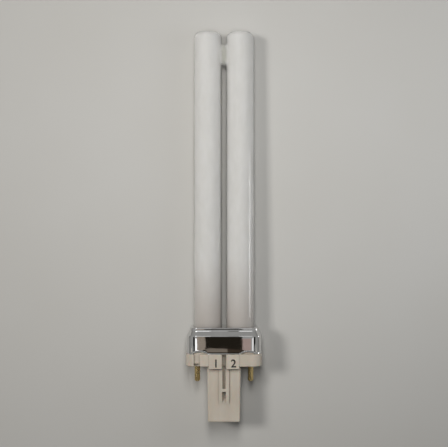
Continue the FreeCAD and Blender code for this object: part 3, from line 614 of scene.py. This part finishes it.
def collarMesh(sizes):
    outline = roundedOutline(sizes["halfWidth"], sizes["halfDepth"], sizes["corner"],
                             sizes["cornerSteps"], sizes["longSteps"], sizes["shortSteps"])
    foot, shoulder, top = sizes["foot"], sizes["shoulder"], sizes["top"]
    profile = [(0, foot + rise) for rise in wallRises]
    # a small round, a sloped shoulder, and a hollow that turns it into the upright rim
    lean, rimLean = math.radians(sizes["shoulderLean"]), math.radians(sizes["rimLean"])
    r = sizes["shoulderRound"]
    for step in range(sizes["shoulderSteps"] + 1):
        turn = lean * step / sizes["shoulderSteps"]
        profile.append((r * (1 - math.cos(turn)), shoulder + r * math.sin(turn)))
    rampTop = profile[-1][1] + (sizes["rampIn"] - profile[-1][0]) / math.tan(lean)
    hollow = sizes["rimHollow"]
    for step in range(sizes["hollowSteps"] + 1):
        turn = lean + (rimLean - lean) * step / sizes["hollowSteps"]
        profile.append((sizes["rampIn"] + hollow * (math.cos(turn) - math.cos(lean)),
                        rampTop + hollow * (math.sin(lean) - math.sin(turn))))
    r = sizes["rimRound"]
    inset = profile[-1][0] + (top - r - profile[-1][1]) * math.tan(rimLean)
    for step in range(sizes["rimSteps"] + 1):
        turn = math.radians(90 * step / sizes["rimSteps"])
        profile.append((inset + r - r * math.cos(turn), top - r + r * math.sin(turn)))
    rings = []
    for inward, along in profile:
        ring = []
        for x, z, nx, nz in outline:
            fade = max(0, 1 - (along - foot) / sizes["flareHeight"])
            lift, flare = 0, sizes["footFlare"] * fade ** 2
            if abs(nz) > sizes["archFacing"]:  # arches stand in the front and back only
                near = abs(abs(x) - sizes["archOffset"]) / sizes["archHalfWidth"]
                bump = max(0, 1 - near ** 2) ** sizes["archFullness"] if near < 1 else 0
                rise = along - foot
                lift = sizes["archHeight"] * bump * max(0, 1 - rise / sizes["archReach"])
                fade = max(0, 1 - rise / sizes["archFlareReach"])
                steep = min(1, bump * sizes["archFlareSlope"])
                flare += sizes["archFlare"] * steep * fade ** 2
            ring.append(place(x - nx * (inward - flare), along + lift, z - nz * (inward - flare)))
        rings.append(ring)
    mesh = meshFromRings("collarShell", rings, capped=False)

    # the floor of the cup between its rim and the two tube openings, with lips turned inwards
    work = bmesh.new()
    work.from_mesh(mesh)
    work.verts.ensure_lookup_table()
    count, around = len(outline), sizes["holeAround"]
    rim = work.verts[-count:]
    edges = [work.edges.get((rim[i], rim[(i + 1) % count])) for i in range(count)]
    holes = []
    for side in (-1, 1):
        hole = []
        for i in range(around):
            turn = 2 * math.pi * i / around
            hole.append(work.verts.new(place(side * sizes["holeSpacing"] / 2
                                             + sizes["holeRadius"] * math.cos(turn), top,
                                             sizes["holeRadius"] * math.sin(turn))))
        holes.append(hole)
        edges += [work.edges.new((hole[i], hole[(i + 1) % around])) for i in range(around)]
    bmesh.ops.triangle_fill(work, use_beauty=True, use_dissolve=False, edges=edges)
    for hole in holes:
        low = [work.verts.new(vert.co - Vector((0, sizes["lip"] * mm, 0))) for vert in hole]
        for i in range(around):
            j = (i + 1) % around
            work.faces.new((hole[i], hole[j], low[j], low[i]))
    bmesh.ops.recalc_face_normals(work, faces=work.faces)
    work.to_mesh(mesh)
    work.free()
    return mesh


collarBase = makeObject("collarBase", collarMesh(collarSizes), aluminiumFinish,
                        collarSizes["smoothBelow"])
sheet = collarBase.modifiers.new("sheet", "SOLIDIFY")
sheet.thickness = collarSizes["wall"] * mm
sheet.offset = -1
collar = makeObject("collar", bakeModifiers("collar", collarBase), aluminiumFinish,
                    collarSizes["smoothBelow"])
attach(collar, "root")
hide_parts("metal_collar")
print("collar made")

# Base housing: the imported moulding's own form, with the small radii that a mould gives

housingSizes = {"edgeRound": 0.14, "edgeSegments": 3, "sharpAbove": 24, "smoothBelow": 28,
                "flatWithin": 0.4}
packedWeld = 2e-6  # in metres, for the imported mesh, whose points lie further apart than this


def housingMesh(sizes):
    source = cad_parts["base_housing"]
    work = bmesh.new()
    work.from_mesh(source.data)
    bmesh.ops.transform(work, matrix=source.matrix_world, verts=work.verts)
    bmesh.ops.remove_doubles(work, verts=work.verts, dist=packedWeld)
    bmesh.ops.dissolve_limit(work, angle_limit=math.radians(sizes["flatWithin"]),
                             verts=work.verts, edges=work.edges)
    bmesh.ops.recalc_face_normals(work, faces=work.faces)
    mesh = bpy.data.meshes.new("housingSharp")
    work.to_mesh(mesh)
    work.free()
    base = makeObject("housingBase", mesh, plasticFinish)
    bevel = base.modifiers.new("edges", "BEVEL")
    bevel.width = sizes["edgeRound"] * mm
    bevel.segments = sizes["edgeSegments"]
    bevel.limit_method = "ANGLE"
    bevel.angle_limit = math.radians(sizes["sharpAbove"])
    bevel.use_clamp_overlap = True
    return bakeModifiers("housing", base)


# Plain numbers on the two pads: moulded a hair deep and filled with black ink. A digit fills
# capitalShare of the type size in height.

digitSizes = {"height": 3.3, "capitalShare": 0.7, "sunk": 0.04, "inkBelow": 0.01,
              "inkRoot": 0.06, "face": 8.95, "along": 1.3, "boldness": 0.09,
              "marks": (("1", -3.4), ("2", 4.0)), "smoothBelow": 30}


def digitMesh(sizes, lowest, highest):
    # the numbers as closed prisms between two heights counted from the pads' faces
    meshes = []
    for text, across in sizes["marks"]:
        curve = bpy.data.curves.new("digit" + text, "FONT")
        curve.body = text
        curve.align_x, curve.align_y = "CENTER", "CENTER"
        curve.size = sizes["height"] / sizes["capitalShare"]
        curve.extrude = (highest - lowest) / 2
        curve.offset = sizes["boldness"]
        mesh = bakeModifiers("digit", makeObject("digit" + text, curve))
        middle = sizes["face"] + (highest + lowest) / 2
        mesh.transform(Matrix.Translation(place(across, sizes["along"], middle))
                       @ Matrix.Scale(mm, 4))
        meshes.append(mesh)
    return tidyMesh(joinMeshes("digits", meshes))


digitCut = digitMesh(digitSizes, -digitSizes["sunk"], digitSizes["sunk"])
housingWhole = combineMeshes("housing", housingMesh(housingSizes), [digitCut], "DIFFERENCE")
housingBase = makeObject("housingFlat", housingWhole, plasticFinish, housingSizes["smoothBelow"])
flatFaces = housingBase.modifiers.new("flatFaces", "WEIGHTED_NORMAL")
flatFaces.keep_sharp = True
housing = makeObject("housing", bakeModifiers("housing", housingBase), plasticFinish)
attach(housing, "root")
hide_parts("base_housing")
print("housing made")

inkMesh = digitMesh(digitSizes, -digitSizes["inkRoot"], -digitSizes["inkBelow"])
padDigits = makeObject("padDigits", inkMesh, printedInk(), digitSizes["smoothBelow"])
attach(padDigits, "root")
print("digits made")

# Contact pins: turned brass, dimpled at the tip, with a seat and a head inside the base

pinSizes = {"radius": 1.175, "length": 7.4, "tipRound": 0.8, "dimple": 0.28,
            "dimpleRadius": 0.34, "spacing": 23.0, "seatRadius": 1.5, "seatTop": 1.6,
            "headRadius": 1.9, "headTop": 2.1, "around": 64, "tipStart": -87, "tipSteps": 12,
            "shaftRings": (-4.5, -2.5, -0.5, -0.02), "smoothBelow": 40}
# from a pin's tip inwards: shares of the dimple's radius and of its depth
dimpleShares = ((1, 0), (0.75, 0.45), (0.4, 0.85), (0, 1))


def pinProfile(sizes):
    tip = -sizes["length"]
    corner = sizes["radius"] - sizes["tipRound"]
    profile = [(0, tip)]
    profile += arcPoints((corner, tip + sizes["tipRound"]), sizes["tipRound"],
                         sizes["tipStart"], 0, sizes["tipSteps"])
    profile += [(sizes["radius"], along) for along in sizes["shaftRings"]]
    profile += [(sizes["seatRadius"], 0), (sizes["seatRadius"], sizes["seatTop"] - capStep),
                (sizes["headRadius"], sizes["seatTop"]), (sizes["headRadius"], sizes["headTop"]),
                (0, sizes["headTop"] + capStep)]
    return profile


def dimpleProfile(sizes):
    # the drill that leaves a small round hollow in each tip
    tip, wide, deep = -sizes["length"], sizes["dimpleRadius"], sizes["dimple"]
    return [(0, tip - deep), (wide, tip - deep + capStep)] + [
        (wide * radiusShare, tip + deep * depthShare) for radiusShare, depthShare in dimpleShares]


def pinPair(name, profile):
    return makeTurnedPair(name, profile, pinSizes["spacing"], pinSizes["around"], brassFinish)


pinMesh = combineMeshes("contactPins", pinPair("contactPins", pinProfile(pinSizes)),
                        [pinPair("dimples", dimpleProfile(pinSizes))], "DIFFERENCE")
pins = makeObject("contactPins", tidyMesh(pinMesh), brassFinish, pinSizes["smoothBelow"])
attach(pins, "root")
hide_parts("contact_pin_left", "contact_pin_right")
print("pins made")

# Pieces inside the base keep their solids and take real finishes

innerFinishes = {
    "tube_cement": castCement(), "glow_starter": bottleGlass(), "starter_capacitor": dippedResin(),
}
wireFinish = tinnedWire()
for name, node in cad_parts.items():
    finish = innerFinishes.get(name) or (wireFinish if name.endswith("_lead") else None)
    if finish:
        node.data.materials.clear()
        node.data.materials.append(finish)
print("inner pieces finished")

# Table top, lights and the studio round them

# in metres: half the table's side, where the flange and the tube tops touch it, how far the
# tops stand above the flange's lowest line, and a hair of room under the lamp
stageSizes = {"half": 3.0, "restY": -0.0544, "tipY": 0.0810, "tipHeight": 0.00305, "room": 0.00002}


def makeTable(sizes):
    # the lamp rests on its flange and on the tops of its tubes, so the table leans a little
    lean = math.atan(sizes["tipHeight"] / (sizes["tipY"] - sizes["restY"]))
    half = sizes["half"]
    mesh = bpy.data.meshes.new("table")
    mesh.from_pydata([(-half, -half, 0), (half, -half, 0), (half, half, 0), (-half, half, 0)], [],
                     [(0, 1, 2, 3)])
    mesh.transform(Matrix.Translation((0, sizes["restY"], -sizes["room"]))
                   @ Matrix.Rotation(lean, 4, "X"))
    material, tree, shader, coords = newMaterial("paleTableTop")
    cloud = addNode(tree, "ShaderNodeTexNoise",
                    {"Vector": coords, "Scale": 1 / (60.0 * mm), "Detail": 2.0})
    pale = addNode(tree, "ShaderNodeMix",
                   {0: cloud, 6: linear("#CBC9C4"), 7: linear("#D0CFCC")}, data_type="RGBA")
    setInputs(tree, shader, {"Base Color": pale, "Roughness": 0.9, "Specular IOR Level": 0.05})
    return makeObject("table", mesh, material)


table = makeTable(stageSizes)


def addSoftbox(name, location, target, size, sizeY, watts, colour, mirrored):
    data = bpy.data.lights.new(name, "AREA")
    data.shape = "RECTANGLE"
    data.size, data.size_y = size, sizeY
    data.energy = watts
    data.color = linear(colour)[:3]
    light = bpy.data.objects.new(name, data)
    light.location = location
    direction = Vector(target) - Vector(location)
    light.rotation_euler = direction.to_track_quat("-Z", "Y").to_euler()
    bpy.context.scene.collection.objects.link(light)
    # a softbox either lights the surfaces or only draws a streak along the glass
    light.visible_glossy = mirrored
    light.visible_diffuse = not mirrored
    light.visible_camera = False


# softboxes: name, place, aim, width and height in metres, watts, colour, seen in gloss only
softboxes = (
    ("keyLeft", (-0.40, 0.10, 0.55), (0, 0, 0), 0.14, 0.14, 1.62, "#FFFDFA", False),
    ("slimOverhead", (0, 0.06, 0.25), (0, 0.05, 0), 0.05, 0.15, 0.265, "#FFFEFC", False),
    ("farOverhead", (0, 0.32, 0.42), (0, 0, 0), 0.10, 0.34, 0.14, "#FFFEFC", False),
    ("lowRight", (0.19, 0.045, 0.13), (0.04, 0.045, 0), 0.1, 0.1, 0.068, "#F4F9FF", False),
    ("stripLowRight", (0.5, -0.013, 0.03), (0, -0.013, 0.012), 0.155, 0.07, 0.22, "#FFFFFF", True),
)
for softbox in softboxes:
    addSoftbox(*softbox)

# what surfaces get from the sky, and what gloss and mirrors see of it
skyStrengths = {"lit": 0.09, "mirrored": 0.62}
world = bpy.data.worlds.new("studio")
bpy.context.scene.world = world
world.use_nodes = True
worldTree = world.node_tree
worldTree.nodes.clear()
skyWay = addNode(worldTree, "ShaderNodeTexCoord").outputs["Generated"]
skyUp = addNode(worldTree, "ShaderNodeSeparateXYZ", {"Vector": skyWay}).outputs["Z"]
skyShare = addNode(worldTree, "ShaderNodeMapRange", {"Value": skyUp, "From Max": 0.9})
skyColour = addNode(worldTree, "ShaderNodeMix",
                    {0: skyShare, 6: linear("#A7A6A2"), 7: linear("#C6C6C4")}, data_type="RGBA")
sky = addNode(worldTree, "ShaderNodeBackground",
              {"Color": skyColour, "Strength": skyStrengths["lit"]})
mirrored = addNode(worldTree, "ShaderNodeBackground",
                   {"Color": skyColour, "Strength": skyStrengths["mirrored"]})
paper = addNode(worldTree, "ShaderNodeBackground", {"Color": linear("#D6D5D2"), "Strength": 1.0})
path = addNode(worldTree, "ShaderNodeLightPath").outputs
blend = addNode(worldTree, "ShaderNodeMixShader",
                {0: path["Is Glossy Ray"], 1: sky, 2: mirrored})
blend = addNode(worldTree, "ShaderNodeMixShader",
                {0: path["Is Camera Ray"], 1: blend, 2: paper})
addNode(worldTree, "ShaderNodeOutputWorld", {"Surface": blend})


def addCard(name, left, right, low, high, height, colour, strength):
    # a level card over the lamp that only mirrors and gloss see
    mesh = bpy.data.meshes.new(name)
    mesh.from_pydata([(left, low, height), (left, high, height), (right, high, height),
                      (right, low, height)], [], [(0, 1, 2, 3)])
    material = bpy.data.materials.new(name)
    material.use_nodes = True
    tree = material.node_tree
    tree.nodes.clear()
    glow = addNode(tree, "ShaderNodeEmission", {"Color": linear(colour), "Strength": strength})
    addNode(tree, "ShaderNodeOutputMaterial", {"Surface": glow})
    card = makeObject(name, mesh, material)
    card.visible_camera = False
    card.visible_diffuse = False
    card.visible_shadow = False
    card.visible_transmission = False


# studio cards, all at one height: name, left, right, low and high edge in mm, colour, strength
cardHeight = 415.0
cards = (
    ("cardDark", -16.4, 15.5, -105.8, 9.0, "#231F19", 1.0),
    ("cardBrown", -16.4, 3.0, -116.0, -105.8, "#7A7066", 1.0),
    ("cardUmber", 3.0, 15.5, -116.0, -105.8, "#3D332B", 1.0),
    ("cardBeige", -23.8, -16.4, -116.0, 9.0, "#968B7F", 1.0),
    ("cardPink", 15.5, 26.0, -116.0, -85.0, "#A8958F", 1.0),
    ("cardBrightLeft", -110.0, -23.8, -116.0, -85.0, "#FFFFFF", 1.4),
    ("cardBrightRight", 60.0, 190.0, -116.0, -85.0, "#FFFFFF", 0.9),
    ("cardDarkLeft", -330.0, -140.0, -116.0, -85.0, "#1B1916", 1.0),
    ("cardDarkRight", 190.0, 420.0, -116.0, -85.0, "#1B1916", 1.0),
    ("cardTopLeft", -100.0, -13.0, 200.0, 300.0, "#FFFFFF", 1.6),
    ("cardTopMiddle", -13.0, 4.0, 200.0, 300.0, "#FFFFFF", 0.5),
    ("cardTopDark", 4.0, 15.0, 200.0, 300.0, "#231F19", 1.0),
    ("cardTopRight", 15.0, 100.0, 200.0, 300.0, "#FFFFFF", 1.6),
    ("cardDomes", -110.0, -33.0, 320.0, 420.0, "#FFFFFF", 7.0),
    ("cardPinDark", -280.0, 280.0, -165.0, -116.0, "#1B1916", 1.0),
    ("cardPinLeft", -650.0, -280.0, -190.0, -150.0, "#FFF3DC", 2.2),
    ("cardPinRight", 280.0, 650.0, -190.0, -150.0, "#FFF3DC", 1.2),
)
for name, left, right, low, high, colour, strength in cards:
    addCard(name, left * mm, right * mm, low * mm, high * mm, cardHeight * mm, colour, strength)

scene = bpy.context.scene
scene.view_settings.view_transform = "Standard"
print("stage and lights made")
